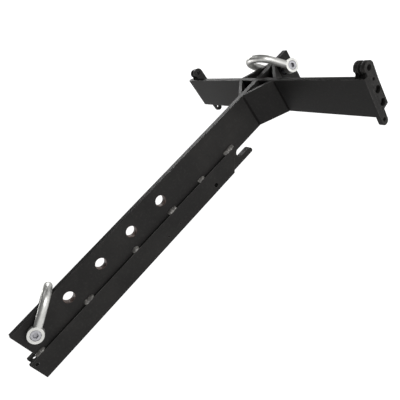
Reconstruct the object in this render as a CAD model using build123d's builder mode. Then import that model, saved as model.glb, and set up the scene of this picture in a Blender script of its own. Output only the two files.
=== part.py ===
from build123d import *
import math
import os

os.makedirs("parts", exist_ok=True)

# ---------------------------------------------------------------- dimensions
# Frame: X along the crosshead bar, Y along the boom (+Y to the rear lug),
# Z up. Z = 0 is the top edge of the boom web and of the crosshead bar,
# X = 0 the middle of the web, Y = 0 the middle of the crosshead bar.

web_t = 12.7            # boom web thickness (along X)
web_front = -638.5      # front end of the web
web_rear = 88.0         # rear end of the web
neck_depth = 73.5       # depth of the web at the neck and of the crosshead
low_z = -101.6          # underside of the lower web and of the doublers
row_z = -27.7           # height of the adjustment hole row
row_y0 = -304.5         # hole of the row nearest the crosshead
row_pitch = 76.2
row_count = 4
row_d = 20.6
lug_z = -27.7           # height of both shackle holes
front_pin_y = -605.8
rear_pin_y = 63.4
lug_d = 22.0            # loose clearance hole for the 16 mm shackle pin
slot_r = 8.3            # catch slot under the neck
slot_y = -120.3
slot_z = -neck_depth - slot_r
finger_top = -neck_depth - 2 * slot_r
finger_tip = -93.6      # end of the hook finger
finger_nose = 7.0       # rounding of its upper corner
finger_chin = 4.0       # rounding of its lower corner

bar_t = 8.0             # crosshead bar thickness (along Y)
bar_half = 254.0
lap_z = -neck_depth / 2

dbl_t = 6.35            # doubler thickness
dbl_top = -60.0
dbl_front = -656.4
dbl_rear_top = -124.0   # raked rear end, top corner
dbl_rear_low = -157.0   # raked rear end, bottom corner
clevis_y, clevis_z, clevis_d = -647.7, -68.5, 7.0
stay_y, stay_z, stay_d = -203.2, -89.5, 9.0
pilot_ys, pilot_z, pilot_d = (-305.5, -338.5), -89.5, 3.6

gus_t = 6.35            # gusset thickness
gus_out = 56.0          # |x| + |y| on the outer face of a gusset

ear_t = 8.0             # ear plate thickness (along X)
ear_gap = 5.0
ear_pin_y, ear_pin_z, ear_pin_d = 13.0, 8.8, 9.5
ear_r = 10.7
ear_rear = 22.2         # rear edge of a tab ear below its rounded top
plain_rear = 26.5       # rear edge of a plain ear
ear_low = -65.0
plain_low = -69.0         # lower edge of a plain ear
foot_z, foot_y = 6.5, -2.5                     # foot weld on the bar's top edge
tab_y, tab_z, tab_r = 3.0, -85.5, 7.3          # rounded end of the tab
eye_y, eye_z, eye_hole_d = 2.8, -82.6, 6.8     # hole in the tab
vent_z, vent_d = -12.0, 5.5
cross_zs, cross_d = (-31.5, -56.0), 12.7
right_pair = 254.0      # +X face of the ear with the tab, right pair
left_pair = -222.0      # the same face of the left pair, at pin height
left_lean = 7.5         # the left pair leans, its foot inwards

body_d = 14.6           # shackle bar
pin_d = 16.0
bore_d = 16.1           # pin bore through both eyes, running fit
head_d = 17.4           # flush pin head, sunk in the near eye
sink_d = 18.0
head_t = 5.4
socket_r = 5.0          # hexagon socket, centre to corner
socket_t = 7.0
eye_d = 27.6
eye_t = 13.0
leg_x = 26.9            # pin middle to the middle of a leg
sh_len = 73.2           # pin axis to the middle of the crown bar
# seat of each shackle: pin centre (x, y, z), tilt of the pin about Y and
# about Z as it hangs cocked in its loose hole, lean of the bow above level
front_seat = (-1.0, front_pin_y, -27.8, 16.9, -3.7, 30.8)
rear_seat = (2.3, rear_pin_y, -27.6, 16.9, -0.6, 53.4)

# stitch welds along the doublers' top edge: start, end, leg
stitches = (
    (-640.3, -620.3, 5.0), (-525.9, -505.9, 5.0), (-408.3, -388.3, 5.0),
    (-310.3, -290.3, 5.0), (-228.8, -208.8, 5.0), (-152.0, -124.5, 5.5),
)
bead = 2.5              # leg of the gusset welds
ear_bead = 2.5          # leg of the ear welds, clear of the pins' path

# The finished part stands on Z = 0 with the middle of its length and of
# its width over the origin.
home = Pos(0, -(dbl_front + web_rear) / 2, -low_z)


def save(shape, name):
    shape = home * shape
    shape.label = name
    export_step(shape, f"parts/{name}.step")


hw = web_t / 2
hb = bar_t / 2


def yz(x):
    """Sketch plane with local x = world Y, local y = world Z, normal +X."""
    return Plane(origin=(x, 0, 0), x_dir=(0, 1, 0), z_dir=(1, 0, 0))


# ---------------------------------------------------------------- boom web
with BuildPart() as boom_web:
    with BuildSketch(yz(-hw)):
        with BuildLine():
            Polyline(
                (web_front, 0), (web_rear, 0), (web_rear, -neck_depth),
                (slot_y, -neck_depth),
            )
            ThreePointArc(
                (slot_y, -neck_depth),
                (slot_y - slot_r, slot_z),
                (slot_y, finger_top),
            )
            Line((slot_y, finger_top), (finger_tip - finger_nose, finger_top))
            nose = finger_nose * (1 - math.sqrt(0.5))
            ThreePointArc(
                (finger_tip - finger_nose, finger_top),
                (finger_tip - nose, finger_top - nose),
                (finger_tip, finger_top - finger_nose),
            )
            Line((finger_tip, finger_top - finger_nose), (finger_tip, low_z + finger_chin))
            chin = finger_chin * (1 - math.sqrt(0.5))
            ThreePointArc(
                (finger_tip, low_z + finger_chin),
                (finger_tip - chin, low_z + chin),
                (finger_tip - finger_chin, low_z),
            )
            Polyline(
                (finger_tip - finger_chin, low_z), (web_front, low_z),
                (web_front, 0),
            )
        make_face()
        with Locations([(row_y0 - i * row_pitch, row_z) for i in range(row_count)]):
            Circle(row_d / 2, mode=Mode.SUBTRACT)
        with Locations((front_pin_y, lug_z), (rear_pin_y, lug_z)):
            Circle(lug_d / 2, mode=Mode.SUBTRACT)
        with Locations((stay_y, stay_z)):
            Circle(stay_d / 2, mode=Mode.SUBTRACT)
        with Locations([(y, pilot_z) for y in pilot_ys]):
            Circle(pilot_d / 2, mode=Mode.SUBTRACT)
    extrude(amount=web_t)
    # half-lap slot from the top for the crosshead bar
    with Locations((0, 0, lap_z / 2)):
        Box(web_t, bar_t, -lap_z, mode=Mode.SUBTRACT)
    chamfer(boom_web.edges().filter_by(Axis.Y).sort_by(Axis.Z)[-4:], 0.6)
save(boom_web.part, "boom_web")

# ---------------------------------------------------------------- crosshead bar
with BuildPart() as crosshead_bar:
    with Locations((0, 0, -neck_depth / 2)):
        Box(2 * bar_half, bar_t, neck_depth)
    # half-lap slot from below for the boom web
    with Locations((0, 0, (lap_z - neck_depth) / 2)):
        Box(web_t, bar_t, neck_depth + lap_z, mode=Mode.SUBTRACT)
    chamfer(crosshead_bar.edges().filter_by(Axis.X).sort_by(Axis.Z)[-2:], 0.5)
save(crosshead_bar.part, "crosshead_bar")


# ---------------------------------------------------------------- doublers
def doubler(x_inner):
    with BuildPart() as p:
        with BuildSketch(yz(x_inner)):
            with BuildLine():
                Polyline(
                    (dbl_front, dbl_top), (dbl_rear_top, dbl_top),
                    (dbl_rear_low, low_z), (dbl_front, low_z),
                    (dbl_front, dbl_top),
                )
            make_face()
            with Locations((clevis_y, clevis_z)):
                Circle(clevis_d / 2, mode=Mode.SUBTRACT)
            with Locations((stay_y, stay_z)):
                Circle(stay_d / 2, mode=Mode.SUBTRACT)
            with Locations([(y, pilot_z) for y in pilot_ys]):
                Circle(pilot_d / 2, mode=Mode.SUBTRACT)
        extrude(amount=dbl_t)
    return p.part


for side, x0 in (("right", hw), ("left", -hw - dbl_t)):
    part = doubler(x0)
    save(part, f"doubler_{side}")


# ---------------------------------------------------------------- gussets
def gusset(sx, sy):
    run = gus_t * math.sqrt(2)
    inner = gus_out - run
    pts = [
        (sx * hw, sy * (gus_out - hw)),
        (sx * (gus_out - hb), sy * hb),
        (sx * (inner - hb), sy * hb),
        (sx * hw, sy * (inner - hw)),
    ]
    with BuildPart() as p:
        with BuildSketch(Plane.XY.offset(-neck_depth)):
            with BuildLine():
                Polyline(*pts, pts[0])
            make_face()
        extrude(amount=neck_depth)
    return p.part


for name, sx, sy in (
    ("front_right", 1, -1), ("front_left", -1, -1),
    ("rear_right", 1, 1), ("rear_left", -1, 1),
):
    part = gusset(sx, sy)
    save(part, f"gusset_{name}")


# ---------------------------------------------------------------- ears
def ear(x_face, tab):
    """Ear plate whose +X face is at x_face; tab adds the lower eye."""
    with BuildPart() as p:
        with BuildSketch(yz(x_face - ear_t)):
            with BuildLine():
                ThreePointArc(
                    (ear_pin_y - ear_r, ear_pin_z),
                    (ear_pin_y, ear_pin_z + ear_r),
                    (ear_pin_y + ear_r, ear_pin_z),
                )
                if tab:
                    Polyline(
                        (ear_pin_y + ear_r, ear_pin_z), (ear_rear, vent_z - 6.0),
                        (ear_rear, ear_low),
                        (tab_y + tab_r + 0.4, ear_low - 2.5), (tab_y + tab_r, tab_z),
                    )
                    ThreePointArc(
                        (tab_y + tab_r, tab_z),
                        (tab_y, tab_z - tab_r),
                        (tab_y - tab_r, tab_z),
                    )
                    Polyline(
                        (tab_y - tab_r, tab_z), (tab_y - tab_r, -neck_depth),
                        (hb, -neck_depth), (hb, foot_z),
                        (ear_pin_y - ear_r, ear_pin_z),
                    )
                else:
                    Polyline(
                        (ear_pin_y + ear_r, ear_pin_z), (plain_rear, vent_z),
                        (plain_rear, plain_low), (hb, plain_low), (hb, foot_z),
                        (ear_pin_y - ear_r, ear_pin_z),
                    )
            make_face()
            with Locations((ear_pin_y, ear_pin_z)):
                Circle(ear_pin_d / 2, mode=Mode.SUBTRACT)
            if tab:
                with Locations([(ear_pin_y, z) for z in cross_zs]):
                    Circle(cross_d / 2, mode=Mode.SUBTRACT)
                with Locations((ear_pin_y, vent_z)):
                    Circle(vent_d / 2, mode=Mode.SUBTRACT)
                with Locations((eye_y, eye_z)):
                    Circle(eye_hole_d / 2, mode=Mode.SUBTRACT)
        extrude(amount=ear_t)
    return p.part


def stand(side, shape):
    """Right pair upright; left pair leaning about its face at pin height."""
    if side == "right":
        return shape
    return (Pos(left_pair, 0, ear_pin_z) * Rotation(0, -left_lean, 0)
            * Pos(-left_pair, 0, -ear_pin_z) * shape)


for side, face in (("right", right_pair), ("left", left_pair)):
    tab_ear = stand(side, ear(face, True))
    if side == "left":
        tab_ear = tab_ear - crosshead_bar.part      # notch fitted to the bar
    save(tab_ear, f"tab_ear_{side}")
    save(stand(side, ear(face - ear_t - ear_gap, False)), f"plain_ear_{side}")


# ---------------------------------------------------------------- shackles
# Local frame of a shackle: pin along X with its head at +X, crown towards +Y.
eye_out = leg_x + eye_t / 2


def shackle_bow():
    straight = sh_len - leg_x
    with BuildPart() as p:
        with BuildLine() as path:
            Line((-leg_x, 0, 0), (-leg_x, straight, 0))
            ThreePointArc((-leg_x, straight, 0), (0, sh_len, 0), (leg_x, straight, 0))
            Line((leg_x, straight, 0), (leg_x, 0, 0))
        with BuildSketch(Plane(origin=(-leg_x, 0, 0), x_dir=(1, 0, 0), z_dir=(0, 1, 0))):
            Circle(body_d / 2)
        sweep(path=path.wires()[0])
        for s in (-1, 1):
            with BuildSketch(yz(s * leg_x - eye_t / 2)):
                Circle(eye_d / 2)
            extrude(amount=eye_t)
            # the eye faces are machined flat across the leg
            with BuildSketch(yz(s * leg_x + eye_t / 2)):
                Circle(eye_d / 2)
            extrude(amount=4, mode=Mode.SUBTRACT)
            with BuildSketch(yz(s * leg_x - eye_t / 2 - 4)):
                Circle(eye_d / 2)
            extrude(amount=4, mode=Mode.SUBTRACT)
        # pin bore through both eyes and the legs that run into them
        with BuildSketch(yz(-eye_out - 2)):
            Circle(bore_d / 2)
        extrude(amount=2 * eye_out + 4, mode=Mode.SUBTRACT)
        # sink for the pin head, open to the outside
        with BuildSketch(yz(eye_out - head_t - 0.3)):
            Circle(sink_d / 2)
        extrude(amount=head_t + 3, mode=Mode.SUBTRACT)
    return p.part


def shackle_pin():
    with BuildPart() as p:
        with BuildSketch(yz(-eye_out + 0.3)):
            Circle(pin_d / 2)
        extrude(amount=2 * eye_out - 0.6)
        chamfer(p.edges().filter_by(GeomType.CIRCLE).sort_by(Axis.X)[:1], 0.8)
        with BuildSketch(yz(eye_out - head_t)):
            Circle(head_d / 2)
        extrude(amount=head_t - 0.3)
        chamfer(p.edges().filter_by(GeomType.CIRCLE).sort_by(Axis.X)[-1:], 0.6)
        with BuildSketch(yz(eye_out - 0.3 - socket_t)):
            RegularPolygon(socket_r, 6)
        extrude(amount=socket_t + 1, mode=Mode.SUBTRACT)
    return p.part


for name, seat, sign in (("front", front_seat, 1), ("rear", rear_seat, -1)):
    x, y, z, tilt, yaw, lean = seat
    # the seat point lies on the pin axis, x measured along that axis
    cocked = Rotation(0, 0, yaw) * Rotation(0, -tilt, 0)
    pin_place = Pos(0, y, z) * cocked * Pos(x, 0, 0)
    swing = Rotation(lean, 0, 0) if sign > 0 else Rotation(-lean, 0, 0)
    turn = Rotation(0, 0, 0) if sign > 0 else Rotation(180, 0, 0)
    save(pin_place * swing * turn * shackle_bow(), f"{name}_shackle_bow")
    save(pin_place * shackle_pin(), f"{name}_shackle_pin")


# ---------------------------------------------------------------- welds
def rod(points, plane, length):
    """Straight weld bead: three-sided section swept along a seam."""
    with BuildPart() as p:
        with BuildSketch(plane):
            with BuildLine():
                Polyline(*points, close=True)
            make_face()
        extrude(amount=length)
    return p.part


for side, s in (("right", 1), ("left", -1)):
    beads = []
    for y0, y1, leg in stitches:
        xz = Plane(origin=(0, y1, 0), x_dir=(1, 0, 0), z_dir=(0, -1, 0))
        beads.append(rod(
            [(s * hw, dbl_top), (s * (hw + leg), dbl_top), (s * hw, dbl_top + leg)],
            xz, y1 - y0,
        ))
    save(Compound(children=beads), f"doubler_welds_{side}")

flat = Plane(origin=(0, 0, -neck_depth + 2.0), x_dir=(1, 0, 0), z_dir=(0, 0, 1))
k = bead / math.sqrt(2)
for end, sy in (("front", -1), ("rear", 1)):
    beads = []
    for sx in (-1, 1):
        wy = gus_out - hw
        bx = gus_out - hb
        beads.append(rod([(sx * hw, sy * wy), (sx * hw, sy * (wy + bead)),
                          (sx * (hw + k), sy * (wy - k))], flat, neck_depth - 5.0))
        beads.append(rod([(sx * bx, sy * hb), (sx * (bx + bead), sy * hb),
                          (sx * (bx - k), sy * (hb + k))], flat, neck_depth - 5.0))
    save(Compound(children=beads), f"gusset_welds_{end}")

low = Plane(origin=(0, 0, ear_low + 3.0), x_dir=(1, 0, 0), z_dir=(0, 0, 1))
for side, face in (("right", right_pair), ("left", left_pair)):
    outer = face - 2 * ear_t - ear_gap
    inner = face - ear_t
    seams = [(outer, -1), (inner, -1)] + ([(face, 1)] if side == "left" else [])
    beads = [
        rod([(x, hb), (x + d * ear_bead, hb), (x, hb + ear_bead)], low, -ear_low - 5.0)
        for x, d in seams
    ]
    # foot of each ear, against its front edge on top of the bar
    beads += [
        rod([(hb, 0), (hb, foot_z), (foot_y, 0)], yz(x - ear_t), ear_t)
        for x in (face, inner - ear_gap)
    ]
    beads = [stand(side, b) for b in beads]
    if side == "left":
        beads = [(b - crosshead_bar.part).solids()[0] for b in beads]
    save(Compound(children=beads), f"ear_welds_{side}")
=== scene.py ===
import math
import bmesh
import bpy
from mathutils import Matrix, Vector, noise


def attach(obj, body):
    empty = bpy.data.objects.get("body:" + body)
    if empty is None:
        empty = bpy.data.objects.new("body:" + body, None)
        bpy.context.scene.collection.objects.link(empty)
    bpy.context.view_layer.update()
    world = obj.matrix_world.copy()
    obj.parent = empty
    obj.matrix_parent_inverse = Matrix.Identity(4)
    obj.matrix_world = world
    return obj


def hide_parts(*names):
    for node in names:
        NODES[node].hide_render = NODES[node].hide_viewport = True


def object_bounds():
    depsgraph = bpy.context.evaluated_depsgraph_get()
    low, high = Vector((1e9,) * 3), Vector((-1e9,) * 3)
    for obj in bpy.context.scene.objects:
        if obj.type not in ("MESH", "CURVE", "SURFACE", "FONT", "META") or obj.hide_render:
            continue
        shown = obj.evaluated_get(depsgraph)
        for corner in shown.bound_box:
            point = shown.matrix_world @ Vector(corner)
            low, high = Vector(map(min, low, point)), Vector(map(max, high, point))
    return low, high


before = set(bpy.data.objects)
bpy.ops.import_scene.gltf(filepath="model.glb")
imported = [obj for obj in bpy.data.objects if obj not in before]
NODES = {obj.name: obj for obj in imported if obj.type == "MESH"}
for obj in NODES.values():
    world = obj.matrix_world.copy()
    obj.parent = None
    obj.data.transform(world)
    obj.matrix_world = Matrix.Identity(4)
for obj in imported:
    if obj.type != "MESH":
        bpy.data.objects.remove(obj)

cad_box = [[float(c) for c in v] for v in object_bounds()]
scene = bpy.context.scene

# --------------------------------------------------------------------------
# Camera, for a 400 x 400 frame
# --------------------------------------------------------------------------
cam_data = bpy.data.cameras.new("Camera")
cam_data.sensor_fit = "HORIZONTAL"
cam_data.sensor_width = 36.0
cam_data.lens = 39.331
cam_data.shift_x = 0.00325
cam_data.shift_y = 0.00800
cam_data.clip_start = 0.01
cam_data.clip_end = 50.0
cam = bpy.data.objects.new("Camera", cam_data)
scene.collection.objects.link(cam)
cam.matrix_world = Matrix((
    (0.5277111, -0.2268786, 0.8185640, 0.6935562),
    (0.6591682, 0.7171767, -0.2261746, -0.1572618),
    (-0.5357408, 0.6589262, 0.5280133, 0.4530617),
    (0.0, 0.0, 0.0, 1.0),
))
scene.camera = cam

# --------------------------------------------------------------------------
# Floor and lights
# --------------------------------------------------------------------------
scene.view_settings.view_transform = "Standard"
scene.view_settings.look = "None"
scene.view_settings.exposure = 0.0
scene.view_settings.gamma = 1.0

world = bpy.data.worlds.new("Studio")
scene.world = world
world.use_nodes = True
bg = world.node_tree.nodes["Background"]
bg.inputs["Color"].default_value = (1.0, 1.0, 1.0, 1.0)
bg.inputs["Strength"].default_value = 0.08


def area(name, loc, target, size, power, size_y=None):
    d = bpy.data.lights.new(name, "AREA")
    d.energy = power
    d.shape = "RECTANGLE" if size_y else "SQUARE"
    d.size = size
    if size_y:
        d.size_y = size_y
    o = bpy.data.objects.new(name, d)
    o.location = loc
    o.rotation_euler = (Vector(target) - Vector(loc)).to_track_quat("-Z", "Y").to_euler()
    scene.collection.objects.link(o)
    return o


# high soft box over the boom, a low one behind on the left for the top edges,
# one from the left front and one from the right for the faces
area("TopBox", (-0.6, 0.0, 2.4), (0.0, 0.0, 0.0), 1.2, 7.0)
area("BackLeft", (-1.9, 0.95, 0.85), (-0.05, 0.1, 0.1), 0.9, 23.0, 0.5)
area("LeftFront", (-1.5, -1.3, 0.16), (-0.15, 0.28, 0.06), 0.8, 8.0, 0.24)
area("Right", (2.3, 0.42, 0.85), (0.1, 0.0, 0.05), 1.0, 54.0)


def mesh_object(name, bm, body=None):
    me = bpy.data.meshes.new(name)
    bm.to_mesh(me)
    bm.free()
    o = bpy.data.objects.new(name, me)
    scene.collection.objects.link(o)
    if body:
        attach(o, body)
    return o


bm = bmesh.new()
bmesh.ops.create_grid(bm, x_segments=8, y_segments=8, size=40.0)
floor = mesh_object("floor", bm)
floor.location = (0.0, 0.0, cad_box[0][2] - 0.0004)

bm = bmesh.new()
bmesh.ops.create_cone(bm, cap_ends=False, segments=96, radius1=22.0, radius2=22.0, depth=6.4)
backdrop = mesh_object("backdrop", bm)
backdrop.location = (0.0, 0.0, 3.1)

# --------------------------------------------------------------------------
# Materials
# --------------------------------------------------------------------------


class Mat:
    """Small helper around a node tree."""

    def __init__(self, name):
        self.m = bpy.data.materials.new(name)
        self.m.use_nodes = True
        self.t = self.m.node_tree
        self.p = self.t.nodes["Principled BSDF"]

    def n(self, kind, **kw):
        node = self.t.nodes.new(kind)
        for k, v in kw.items():
            if k in node.inputs.keys():
                node.inputs[k].default_value = v
            else:
                setattr(node, k, v)
        return node

    def l(self, a, b):
        self.t.links.new(a, b)

    def noise(self, scale, detail=3.0, rough=0.55, coord=None, dist=0.0):
        n = self.n("ShaderNodeTexNoise")
        n.inputs["Scale"].default_value = scale
        n.inputs["Detail"].default_value = detail
        n.inputs["Roughness"].default_value = rough
        n.inputs["Distortion"].default_value = dist
        if coord is not None:
            self.l(coord, n.inputs["Vector"])
        return n.outputs["Fac"]

    def ramp(self, fac, stops):
        r = self.n("ShaderNodeValToRGB")
        el = r.color_ramp.elements
        while len(el) > 1:
            el.remove(el[-1])
        el[0].position, el[0].color = stops[0][0], grey(stops[0][1])
        for pos, col in stops[1:]:
            e = el.new(pos)
            e.color = grey(col)
        self.l(fac, r.inputs["Fac"])
        return r.outputs["Color"]

    def mix(self, fac, a, b, blend="MIX"):
        m = self.n("ShaderNodeMix", data_type="RGBA", blend_type=blend)
        if hasattr(fac, "links"):
            self.l(fac, m.inputs[0])
        else:
            m.inputs[0].default_value = fac
        for sock, v in ((m.inputs[6], a), (m.inputs[7], b)):
            if hasattr(v, "links"):
                self.l(v, sock)
            else:
                sock.default_value = grey(v)
        return m.outputs[2]

    def math(self, op, a, b=None, clamp=False):
        m = self.n("ShaderNodeMath", operation=op, use_clamp=clamp)
        for i, v in enumerate((a, b)):
            if v is None:
                continue
            if hasattr(v, "links"):
                self.l(v, m.inputs[i])
            else:
                m.inputs[i].default_value = v
        return m.outputs[0]

    def bump(self, height, strength, dist, normal=None):
        b = self.n("ShaderNodeBump")
        b.inputs["Strength"].default_value = strength
        b.inputs["Distance"].default_value = dist
        self.l(height, b.inputs["Height"])
        if normal is not None:
            self.l(normal, b.inputs["Normal"])
        return b.outputs["Normal"]

    def coord(self):
        return self.n("ShaderNodeTexCoord").outputs["Object"]

    def edge(self, radius):
        """0 on flats, rising towards 1 on edges."""
        bev = self.n("ShaderNodeBevel")
        bev.samples = 6
        bev.inputs["Radius"].default_value = radius
        geo = self.n("ShaderNodeNewGeometry")
        d = self.n("ShaderNodeVectorMath", operation="DOT_PRODUCT")
        self.l(bev.outputs["Normal"], d.inputs[0])
        self.l(geo.outputs["Normal"], d.inputs[1])
        return self.math("SUBTRACT", 1.0, d.outputs["Value"], clamp=True)


def grey(v):
    if isinstance(v, (int, float)):
        return (v, v, v, 1.0)
    return tuple(v) if len(v) == 4 else (v[0], v[1], v[2], 1.0)


ROW_Y0, ROW_PITCH, ROW_Z = -0.0203, 0.0762, 0.0739


def black_coat(name="BlackCoat", holes=False, lift=1.0, mottle=0.16, gloss=0.08, rubbed=0.60):
    """Satin black powder coat: faint cloudiness, fine orange peel, settled
    dust and rubbed edges; bare brownish steel in the walls of the row holes."""
    m = Mat(name)
    c = m.coord()
    cloud = m.noise(9.0, 4.0, 0.6, c, 0.4)
    fine = m.noise(260.0, 2.0, 0.5, c)
    speck = m.noise(900.0, 1.0, 0.5, c)
    tones = ((0.30, (0.0085, 0.0081, 0.0080)), (0.55, (0.0112, 0.0108, 0.0104)),
             (0.75, (0.0150, 0.0143, 0.0136)))
    base = m.ramp(cloud, [(p, tuple(v * lift for v in rgb)) for p, rgb in tones])
    dust = m.ramp(fine, [(0.52, 0.0), (0.80, 1.0)])
    base = m.mix(m.math("MULTIPLY", dust, mottle), base, (0.045, 0.043, 0.040))
    edge = m.ramp(m.edge(0.0014), [(0.02, 0.0), (0.16, 1.0)])
    rub = m.math("MULTIPLY", edge, m.ramp(m.noise(45.0, 3.0, 0.6, c), [(0.38, 0.25), (0.62, 1.0)]))
    base = m.mix(m.math("MULTIPLY", rub, rubbed), base, (0.120, 0.117, 0.112))
    if holes:
        sep = m.n("ShaderNodeSeparateXYZ")
        m.l(c, sep.inputs[0])
        yy = m.math("ADD", sep.outputs[1], -(ROW_Y0 + ROW_PITCH / 2) + 4 * ROW_PITCH)
        yy = m.math("SUBTRACT", m.math("MODULO", yy, ROW_PITCH), ROW_PITCH / 2)
        zz = m.math("ADD", sep.outputs[2], -ROW_Z)
        r2 = m.math("ADD", m.math("MULTIPLY", yy, yy), m.math("MULTIPLY", zz, zz))
        wall = m.math("LESS_THAN", r2, 0.0107 ** 2)
        row = m.math("MULTIPLY", m.math("LESS_THAN", sep.outputs[1], ROW_Y0 + 0.02),
                     m.math("GREATER_THAN", sep.outputs[1], ROW_Y0 - 3 * ROW_PITCH - 0.02))
        rust = m.ramp(m.noise(120.0, 3.0, 0.6, c), [(0.35, (0.030, 0.024, 0.022)), (0.70, (0.115, 0.080, 0.068))])
        base = m.mix(m.math("MULTIPLY", wall, row), base, rust)
    m.l(base, m.p.inputs["Base Color"])
    r = m.ramp(cloud, [(0.30, 0.42), (0.70, 0.54)])
    r = m.mix(m.math("MULTIPLY", rub, 0.5), r, 0.34)
    m.l(r, m.p.inputs["Roughness"])
    m.p.inputs["Specular IOR Level"].default_value = gloss
    nrm = m.bump(fine, 0.16, 0.0006)
    nrm = m.bump(speck, 0.10, 0.0002, nrm)
    m.l(nrm, m.p.inputs["Normal"])
    return m.m


def weld_coat(name="BlackWeld", bare=0.8):
    """Weld bead under thin black coat: the coat is rubbed and dusty on the
    crests, darker in the ripples."""
    m = Mat(name)
    c = m.coord()
    big = m.noise(150.0, 3.0, 0.6, c, 0.5)
    fine = m.noise(900.0, 2.0, 0.5, c)
    base = m.ramp(big, [(0.30, (0.020, 0.019, 0.018)), (0.56, (0.130, 0.125, 0.118)), (0.72, (0.36, 0.345, 0.325))])
    base = m.mix(1.0 - bare, base, (0.014, 0.0135, 0.013))
    base = m.mix(m.math("MULTIPLY", m.ramp(fine, [(0.5, 0.0), (0.7, 1.0)]), 0.3), base, (0.02, 0.019, 0.018))
    m.l(base, m.p.inputs["Base Color"])
    m.l(m.ramp(big, [(0.3, 0.50), (0.7, 0.34)]), m.p.inputs["Roughness"])
    m.p.inputs["Specular IOR Level"].default_value = 0.35
    nrm = m.bump(big, 0.25, 0.0008)
    nrm = m.bump(fine, 0.15, 0.0003, nrm)
    m.l(nrm, m.p.inputs["Normal"])
    return m.m


def zinc(name="ZincBow", lo=0.40, hi=0.58, rough=(0.36, 0.46), warm=0.96):
    """Dull bright plating on a forging: broad soft mottling, a few grey spots,
    fine grain, paler rubbed edges."""
    m = Mat(name)
    c = m.coord()
    big = m.noise(42.0, 3.0, 0.6, c, 0.6)
    grain = m.noise(700.0, 2.0, 0.5, c)
    col = m.ramp(big, [(0.30, (lo, lo, lo * warm)), (0.70, (hi, hi * 0.995, hi * warm))])
    col = m.mix(m.math("MULTIPLY", m.ramp(grain, [(0.4, 0.0), (0.7, 1.0)]), 0.10), col, (0.80, 0.80, 0.78))
    spots = m.ramp(m.noise(150.0, 2.0, 0.5, c), [(0.64, 0.0), (0.74, 1.0)])
    col = m.mix(m.math("MULTIPLY", spots, 0.25), col, (0.24, 0.235, 0.22))
    edge = m.ramp(m.edge(0.0010), [(0.03, 0.0), (0.20, 1.0)])
    col = m.mix(m.math("MULTIPLY", edge, 0.25), col, (0.84, 0.84, 0.82))
    m.l(col, m.p.inputs["Base Color"])
    m.p.inputs["Metallic"].default_value = 0.85
    m.p.inputs["Specular IOR Level"].default_value = 0.25
    m.p.inputs["Specular Tint"].default_value = (0.42, 0.42, 0.41, 1.0)
    m.l(m.ramp(big, [(0.3, rough[1]), (0.7, rough[0])]), m.p.inputs["Roughness"])
    nrm = m.bump(big, 0.05, 0.0008)
    nrm = m.bump(grain, 0.03, 0.0002, nrm)
    m.l(nrm, m.p.inputs["Normal"])
    return m.m


def floor_mat():
    """Pale, evenly lit studio floor."""
    m = Mat("FloorPale")
    c = m.coord()
    n1 = m.noise(3.0, 3.0, 0.5, c)
    m.l(m.ramp(n1, [(0.3, (0.28, 0.28, 0.28)), (0.7, (0.32, 0.32, 0.32))]), m.p.inputs["Base Color"])
    m.l(m.ramp(n1, [(0.3, (0.99, 0.99, 0.99)), (0.7, (1.0, 1.0, 1.0))]), m.p.inputs["Emission Color"])
    m.p.inputs["Emission Strength"].default_value = 0.98
    m.p.inputs["Roughness"].default_value = 0.9
    m.p.inputs["Specular IOR Level"].default_value = 0.0
    return m.m


M_BLACK = black_coat()
M_WEB = black_coat("BlackCoatWeb", holes=True)
M_EAR = black_coat("BlackCoatEar", lift=1.15, mottle=0.60, gloss=0.08)
M_GUSSET = black_coat("BlackCoatGusset", rubbed=0.12)
# darkened copy of the black coat for the gusset and ear beads: painted shade, so the beads in the corners catch no
# light
M_SEAM_PAINTED_SHADE = black_coat("BlackCoatSeamPaintedShade", lift=0.40, mottle=0.04, gloss=0.02, rubbed=0.05)
M_WELD = weld_coat("BlackWeld", 0.85)
M_WELD_DARK = weld_coat("BlackWeldDark", 0.25)
M_BOW = zinc()
M_PIN = zinc("ZincPin", 0.25, 0.38, (0.38, 0.48), 1.06)
M_FLOOR = floor_mat()
floor.data.materials.append(M_FLOOR)
backdrop.data.materials.append(M_FLOOR)


def dress(node, mat, width=0.0, seg=2, angle=32.0):
    """Gives a CAD node its finish and, where asked, softly broken edges."""
    o = NODES[node]
    for s in o.material_slots:
        s.material = mat
    if not o.material_slots:
        o.data.materials.append(mat)
    if width:
        w = o.modifiers.new("weld", "WELD")
        w.merge_threshold = 0.00002
        b = o.modifiers.new("edge", "BEVEL")
        b.width = width
        b.segments = seg
        b.limit_method = "ANGLE"
        b.angle_limit = math.radians(angle)
        b.harden_normals = True
        b.use_clamp_overlap = True
    return o


PLATES = ["boom_web", "crosshead_bar", "doubler_left", "doubler_right",
          "gusset_front_left", "gusset_front_right", "gusset_rear_left", "gusset_rear_right",
          "tab_ear_left", "tab_ear_right", "plain_ear_left", "plain_ear_right"]
# the doublers keep their sharp edges, as a bevel shades their long faces unevenly
for n in PLATES:
    dress(n, M_WEB if n == "boom_web" else M_EAR if "ear" in n else M_GUSSET if "gusset" in n else M_BLACK, 0.0 if "doubler" in n else 0.0008, 2)
for n in ("front_shackle_bow", "rear_shackle_bow"):
    dress(n, M_BOW, 0.0007, 3, 40.0)
for n in ("front_shackle_pin", "rear_shackle_pin"):
    dress(n, M_PIN, 0.0004, 2, 40.0)
for n in ("doubler_welds_left", "doubler_welds_right", "gusset_welds_front",
          "gusset_welds_rear", "ear_welds_left", "ear_welds_right"):
    dress(n, M_WELD_DARK)

# --------------------------------------------------------------------------
# Weld beads: overlapping scalloped drops laid along each seam
# --------------------------------------------------------------------------
DY, DZ = 0.2842, 0.1016          # from the plates' own frame to the part's


def at(x, y, z):
    """Point in millimetres from the top middle of the crosshead."""
    return Vector((x / 1000.0, y / 1000.0 + DY, z / 1000.0 + DZ))


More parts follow.
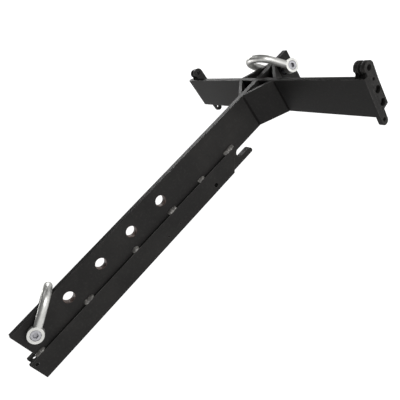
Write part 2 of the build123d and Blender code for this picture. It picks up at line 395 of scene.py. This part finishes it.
def bead(bm, p0, p1, d1, d2, leg1, leg2, seed, step=0.0032, swell=0.22, taper=0.0022, rough=0.16):
    """One bead in the corner line p0-p1, with feet along d1 and d2."""
    p0, p1 = Vector(p0), Vector(p1)
    run = p1 - p0
    length = run.length
    t = run.normalized()
    d1, d2 = Vector(d1).normalized(), Vector(d2).normalized()
    n_r = max(10, int(length / 0.0006))
    n_a = 9
    prev = None
    first = last = None
    for i in range(n_r + 1):
        u = i / n_r
        s = u * length
        end = min(u, 1.0 - u) * length
        round_end = math.sqrt(max(0.0, 1.0 - max(0.0, 1.0 - end / taper) ** 2))
        size = 0.22 + 0.78 * round_end
        size *= 1.0 + rough * noise.noise(Vector((s * 190.0, seed, 0.0)))
        ring = [bm.verts.new(p0 + t * s)]
        for k in range(n_a + 1):
            f = k / n_a
            phi = f * math.pi / 2.0
            lag = 0.0011 * math.sin(2.0 * phi)
            wave = ((s + lag + 0.0007 * seed) / step) % 1.0
            ripple = 1.0 - 0.10 * (1.0 - wave) ** 2 * math.sin(2.0 * phi)
            lump = 1.0 + 0.10 * noise.noise(Vector((s * 420.0, f * 2.5, seed + 7.0)))
            bulge = 1.0 + swell * math.sin(2.0 * phi)
            a = (1.0 - f)
            b = f
            r = size * ripple * lump * bulge
            a1, b1 = a * leg1 * r, b * leg2 * r
            if k == 0:
                b1 = 0.0
            if k == n_a:
                a1 = 0.0
            ring.append(bm.verts.new(p0 + t * s + d1 * a1 + d2 * b1))
        if prev:
            m = len(ring)
            for k in range(m):
                bm.faces.new((prev[k], prev[(k + 1) % m], ring[(k + 1) % m], ring[k]))
        else:
            first = ring
        prev = ring
        last = ring
    bm.faces.new(first)
    bm.faces.new(list(reversed(last)))


def bead_object(name, node, beads, mat):
    bm = bmesh.new()
    for n, b in enumerate(beads):
        bead(bm, *b[:6], seed=1.7 * n + 0.31 * len(name), **(b[6] if len(b) > 6 else {}))
    bmesh.ops.recalc_face_normals(bm, faces=bm.faces)
    for f in bm.faces:
        f.smooth = len(f.verts) == 4
    o = mesh_object(name, bm, body="frame")
    o.data.materials.append(mat)
    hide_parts(node)
    return o


HW, HB, TOP = 6.35, 4.0, -60.0
STITCH = ((-640.3, -620.3, 5.2, 4.6), (-526.5, -505.0, 6.0, 5.0), (-406.0, -391.0, 6.2, 5.4),
          (-310.5, -290.0, 6.2, 5.2), (-227.5, -210.5, 6.2, 5.4), (-152.0, -124.6, 6.3, 5.4))
UP = Vector((0.0, 0.0, 1.0))
for side, sx in (("right", 1.0), ("left", -1.0)):
    out = Vector((sx, 0.0, 0.0))
    bead_object(
        f"stitch_beads_{side}", f"doubler_welds_{side}",
        [(at(sx * HW, y0, TOP), at(sx * HW, y1, TOP), out, UP, w / 1000.0, h / 1000.0,
          {"step": 0.0044, "swell": 0.36, "taper": 0.0062, "rough": 0.30}) for y0, y1, w, h in STITCH], M_WELD)

GUS, ND = 56.0, 73.5
for end, sy in (("front", -1.0), ("rear", 1.0)):
    runs = []
    for sx in (-1.0, 1.0):
        runs.append((at(sx * HW, sy * (GUS - HW), -71.0), at(sx * HW, sy * (GUS - HW), -3.4),
                     Vector((0, sy, 0)), Vector((sx, -sy, 0)), 0.0024, 0.0024, {"swell": 0.02, "step": 0.0036}))
        runs.append((at(sx * (GUS - HB), sy * HB, -71.0), at(sx * (GUS - HB), sy * HB, -3.4),
                     Vector((sx, 0, 0)), Vector((-sx, sy, 0)), 0.0024, 0.0024, {"swell": 0.02, "step": 0.0036}))
    # gusset beads take the darkened coat, painted shade along the corners
    bead_object(f"gusset_beads_{end}", f"gusset_welds_{end}", runs, M_SEAM_PAINTED_SHADE)

EAR_T, EAR_GAP, PIN_Z, LEAN = 8.0, 5.0, 8.8, math.radians(7.5)


def leaning(p, face):
    """Same lean as the left pair of ears."""
    x, y, z = p
    rx, rz = x - face, z - PIN_Z
    return (face + rx * math.cos(LEAN) - rz * math.sin(LEAN), y,
            PIN_Z + rx * math.sin(LEAN) + rz * math.cos(LEAN))


for side, face in (("right", 254.0), ("left", -222.0)):
    put = (lambda p: at(*p)) if side == "right" else (lambda p, f=face: at(*leaning(p, f)))
    ax = Vector((1, 0, 0)) if side == "right" else Vector((math.cos(LEAN), 0, math.sin(LEAN)))
    inner, outer = face - EAR_T, face - 2 * EAR_T - EAR_GAP
    seams = [(outer, -1.0), (inner, -1.0)] + ([(face, 1.0)] if side == "left" else [])
    runs = [(put((x, HB, -61.8)), put((x, HB, -2.2)), ax * d, Vector((0, 1, 0)), 0.0024, 0.0024)
            for x, d in seams]
    for x in (face, inner - EAR_GAP):
        base = 0.0 if side == "right" else 0.6
        runs.append((put((x - EAR_T + 0.3, HB, base)), put((x - 0.3, HB, base)), Vector((0, -1, 0)),
                     ax.cross(Vector((0, 1, 0))), 0.0058, 0.0058, {"step": 0.0027, "swell": 0.12}))
    # ear beads take the darkened coat, painted shade along the corners
    bead_object(f"ear_beads_{side}", f"ear_welds_{side}", runs, M_SEAM_PAINTED_SHADE)
